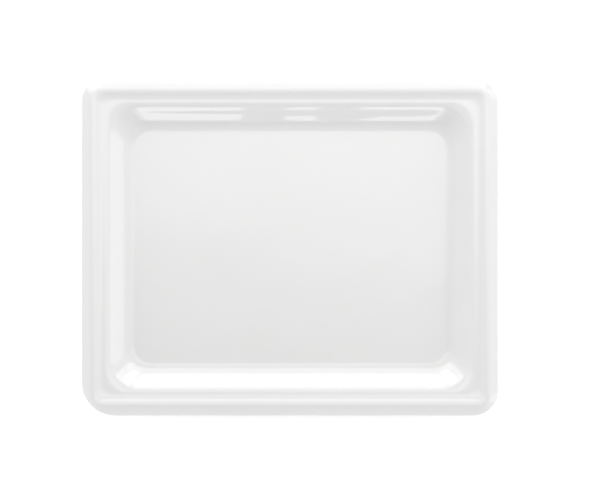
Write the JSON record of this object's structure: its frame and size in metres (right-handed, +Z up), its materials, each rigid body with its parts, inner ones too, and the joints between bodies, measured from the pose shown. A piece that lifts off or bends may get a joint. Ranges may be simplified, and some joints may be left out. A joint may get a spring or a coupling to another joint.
{
  "type": "developing tray",
  "caption": "Shallow rectangular moulded tray for photographic solutions, with a raised crest and level ledge round a sloping-walled, flat-floored basin, standing on push-in rubber feet.",
  "frame": {"origin": "on the bench, under the middle of the tray", "axes": "+X along the long side to the right, +Y to the rear along the short side, +Z up out of the basin"},
  "size_m": [0.325, 0.263, 0.0225],
  "materials": {
    "tray_body": "high-gloss white, smooth moulded, with very slight waviness",
    "foot_rubber": "matt grey elastomer"
  },
  "bodies": {
    "root": {"tray_body": "tray_body", "foot_front_left": "foot_rubber", "foot_front_right": "foot_rubber", "foot_rear_left": "foot_rubber", "foot_rear_right": "foot_rubber"}
  },
  "joints": []
}
